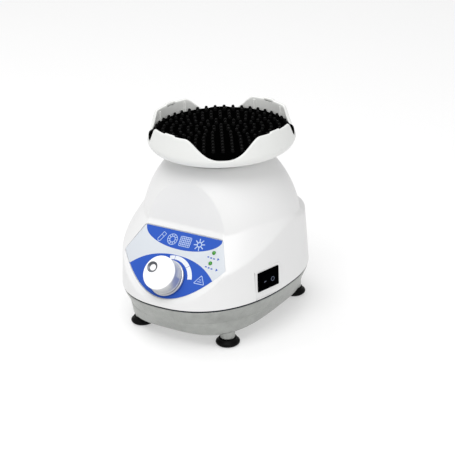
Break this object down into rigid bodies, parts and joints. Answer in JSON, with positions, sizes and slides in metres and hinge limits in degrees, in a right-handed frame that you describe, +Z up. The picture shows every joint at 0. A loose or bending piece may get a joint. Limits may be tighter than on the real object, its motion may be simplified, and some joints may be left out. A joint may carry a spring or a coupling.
{
  "type": "vortex mixer",
  "caption": "Bench vortex mixer with an orbiting studded-pad tray, a domed plastic housing with a speed knob, a rocker switch and a cast base on rubber feet.",
  "frame": {"origin": "on the table, under the centre of the whole object's bounding box", "axes": "+Z up, -Y towards the user and the control panel, +X towards the rocker switch"},
  "size_m": [0.128, 0.1609, 0.154],
  "materials": {
    "housing_white": "moulded ABS, satin gloss, fine texture",
    "tray_white": "moulded ABS, satin gloss",
    "base_metal": "die cast, matt silver paint",
    "rubber_black": "moulded, matt",
    "gasket": "moulded, matt",
    "overlay_print": "printed polycarbonate film",
    "led_green": "tinted lens",
    "board_green": "solder mask",
    "screw_steel": "zinc plated",
    "brass": "turned",
    "knob_metal": "turned and anodised",
    "knob_white": "polished",
    "black_plastic": "moulded nylon",
    "contact_plate": "plated brass blades",
    "ceramic_fuse": "ceramic tube with metal caps",
    "ballast_steel": "hot rolled, oiled",
    "transformer": "taped winding",
    "spring_steel": "spring wire",
    "plunger_red": "moulded",
    "motor_steel": "black paint",
    "lamination": "stacked sheet",
    "copper": "enamelled copper wire",
    "machined_aluminium": "machined",
    "bearing_steel": "ground"
  },
  "bodies": {
    "root": {"base_casting": "base_metal", "foot_front_left": "rubber_black", "foot_front_right": "rubber_black", "foot_rear_left": "rubber_black", "foot_rear_right": "rubber_black", "foot_screws": "screw_steel", "seam_gasket": "gasket", "housing_shell": "housing_white", "neck_collar": "rubber_black", "panel_overlay": "overlay_print", "run_led": "led_green", "touch_led": "led_green", "control_board": "board_green", "board_standoffs": "brass", "board_screws": "screw_steel", "speed_pot": "black_plastic", "pot_nut": "screw_steel", "switch_frame": "black_plastic", "switch_terminals": "contact_plate", "inlet_body": "black_plastic", "inlet_pins": "contact_plate", "inlet_screws": "screw_steel", "ballast_plate": "ballast_steel", "ballast_screws": "screw_steel", "power_board": "board_green", "power_standoffs": "brass", "power_transformer": "transformer", "guide_posts": "screw_steel", "post_caps": "screw_steel", "touch_springs": "spring_steel", "touch_switch": "black_plastic", "touch_bracket": "screw_steel", "bracket_screws": "screw_steel"},
    "carriage": {"motor_plate": "machined_aluminium", "motor_can": "motor_steel", "motor_screws": "screw_steel", "stator_core": "lamination", "stator_windings": "copper", "end_bell": "machined_aluminium", "lower_bearing": "bearing_steel", "upper_bearing": "bearing_steel"},
    "rotor": {"motor_shaft": "bearing_steel", "rotor_core": "lamination", "eccentric_hub": "machined_aluminium", "counterweight": "brass", "hub_set_screw": "screw_steel"},
    "head": {"head_bearing": "bearing_steel", "head_hub": "machined_aluminium", "tray": "tray_white", "tray_screws": "screw_steel", "pad": "rubber_black"},
    "knob": {"pot_shaft": "knob_metal", "knob_body": "knob_metal", "knob_cap": "knob_white", "knob_set_screw": "screw_steel"},
    "rocker": {"switch_rocker": "black_plastic"},
    "plunger": {"touch_plunger": "plunger_red"},
    "fuse_drawer": {"fuse_drawer": "black_plastic", "fuse_link": "ceramic_fuse"}
  },
  "joints": [
    {"name": "touch_press", "type": "slide", "parent": "root", "child": "carriage", "axis": [0, 0, -1], "range_m": [0, 0.002], "stiffness_N_per_m": 8000, "springref_m": -0.003, "deforming": ["touch_springs"]},
    {"name": "rotor_spin", "type": "hinge", "parent": "carriage", "child": "rotor", "pos_m": [0, 0.01144, 0.1], "axis": [0, 0, 1], "continuous": true},
    {"name": "head_spin", "type": "hinge", "parent": "rotor", "child": "head", "pos_m": [0.00191, 0.01263, 0.124], "axis": [0, 0, 1], "continuous": true},
    {"name": "knob_turn", "type": "hinge", "parent": "root", "child": "knob", "pos_m": [0, -0.06326, 0.05214], "axis": [0, -0.7524, 0.6587], "range_deg": [-175, 95]},
    {"name": "rocker_tilt", "type": "hinge", "parent": "root", "child": "rocker", "pos_m": [0.05681, -0.02096, 0.0481], "axis": [0, 0, -1], "range_deg": [0, 12]},
    {"name": "plunger_press", "type": "slide", "parent": "root", "child": "plunger", "axis": [0, 0, -1], "range_m": [0, 0.002]},
    {"name": "fuse_drawer_slide", "type": "slide", "parent": "root", "child": "fuse_drawer", "axis": [0, 1, 0], "range_m": [0, 0.014]}
  ],
  "couplings": [
    {"joint": "head_spin", "follows": "rotor_spin", "ratio": -1},
    {"joint": "plunger_press", "follows": "touch_press", "ratio": 1}
  ]
}
